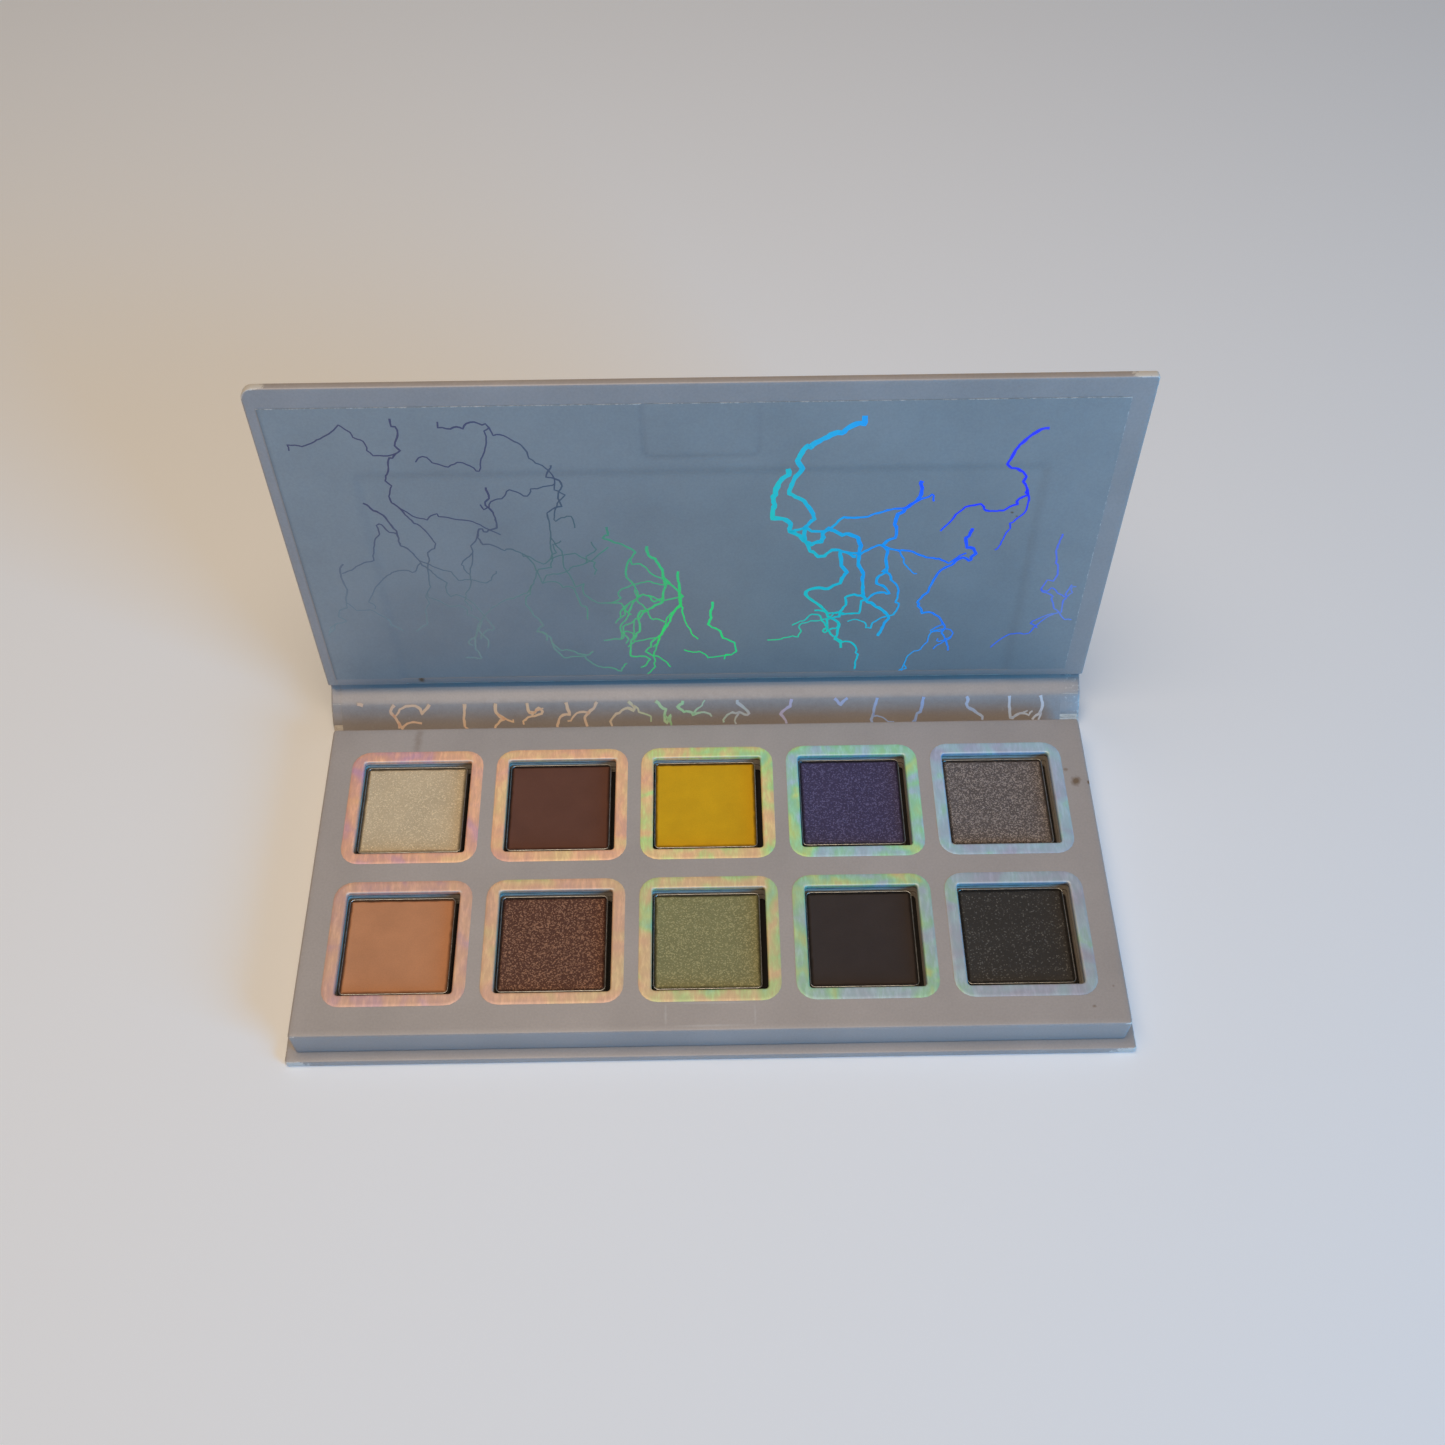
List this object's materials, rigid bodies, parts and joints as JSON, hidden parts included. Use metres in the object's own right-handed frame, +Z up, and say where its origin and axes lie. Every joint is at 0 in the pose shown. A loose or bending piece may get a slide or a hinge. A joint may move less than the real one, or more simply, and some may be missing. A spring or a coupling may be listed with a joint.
{
  "type": "eyeshadow palette",
  "caption": "Book-style board palette with a folding lid on a two-fold paper spine, and a tray of square recessed pans of pressed powder framed in foil.",
  "frame": {"origin": "centre of the case's flat underside, on the surface it stands on", "axes": "+X along the long side, to the right seen from the front; +Y from the front edge towards the spine; +Z up"},
  "size_m": [0.1924, 0.1089, 0.1025],
  "materials": {
    "greyboard": "raw die-cut board",
    "cover_paper": "satin pearl silver-grey laminate",
    "liner_paper": "satin pearl grey with stamped foil lines",
    "holographic_foil": "stamped rainbow foil",
    "tinplate": "drawn tin",
    "steel_plate": "plain plate",
    "magnet": "nickel plated",
    "glue": "dried adhesive",
    "powder_cream": "pressed powder, fine shimmer",
    "powder_chocolate": "pressed powder, matte",
    "powder_mustard": "pressed powder, matte",
    "powder_indigo": "pressed powder, shimmer",
    "powder_taupe": "pressed powder, shimmer",
    "powder_caramel": "pressed powder, matte",
    "powder_bronze": "pressed powder, metallic shimmer",
    "powder_olive": "pressed powder, shimmer",
    "powder_umber": "pressed powder, matte",
    "powder_charcoal": "pressed powder, sparkle"
  },
  "bodies": {
    "base": {"base_board": "greyboard", "base_wrap": "cover_paper", "base_crease_paper": "cover_paper", "base_liner": "liner_paper", "tray_glue": "glue", "tray_floor_board": "greyboard", "tray_window_board_lower": "greyboard", "tray_window_board_upper": "greyboard", "tray_window_board_top": "greyboard", "tray_wrap": "cover_paper", "tray_steel_plate": "steel_plate", "pan_glue_dots": "glue", "foil_frame_rear_1": "holographic_foil", "pan_rear_1": "tinplate", "powder_rear_1": "powder_cream", "foil_frame_rear_2": "holographic_foil", "pan_rear_2": "tinplate", "powder_rear_2": "powder_chocolate", "foil_frame_rear_3": "holographic_foil", "pan_rear_3": "tinplate", "powder_rear_3": "powder_mustard", "foil_frame_rear_4": "holographic_foil", "pan_rear_4": "tinplate", "powder_rear_4": "powder_indigo", "foil_frame_rear_5": "holographic_foil", "pan_rear_5": "tinplate", "powder_rear_5": "powder_taupe", "foil_frame_front_1": "holographic_foil", "pan_front_1": "tinplate", "powder_front_1": "powder_caramel", "foil_frame_front_2": "holographic_foil", "pan_front_2": "tinplate", "powder_front_2": "powder_bronze", "foil_frame_front_3": "holographic_foil", "pan_front_3": "tinplate", "powder_front_3": "powder_olive", "foil_frame_front_4": "holographic_foil", "pan_front_4": "tinplate", "powder_front_4": "powder_umber", "foil_frame_front_5": "holographic_foil", "pan_front_5": "tinplate", "powder_front_5": "powder_charcoal"},
    "spine": {"spine_board": "greyboard", "spine_wrap": "cover_paper", "spine_liner": "liner_paper"},
    "lid": {"lid_board": "greyboard", "lid_wrap": "cover_paper", "lid_crease_paper": "cover_paper", "lid_liner": "liner_paper", "lid_magnet": "magnet"}
  },
  "joints": [
    {"name": "spine_fold", "type": "hinge", "parent": "base", "child": "spine", "pos_m": [0, 0.0478, 0], "axis": [-1, 0, 0], "range_deg": [-39, 51]},
    {"name": "lid_fold", "type": "hinge", "parent": "spine", "child": "lid", "pos_m": [0, 0.05586, 0.00995], "axis": [-1, 0, 0], "range_deg": [-56, 34]}
  ]
}
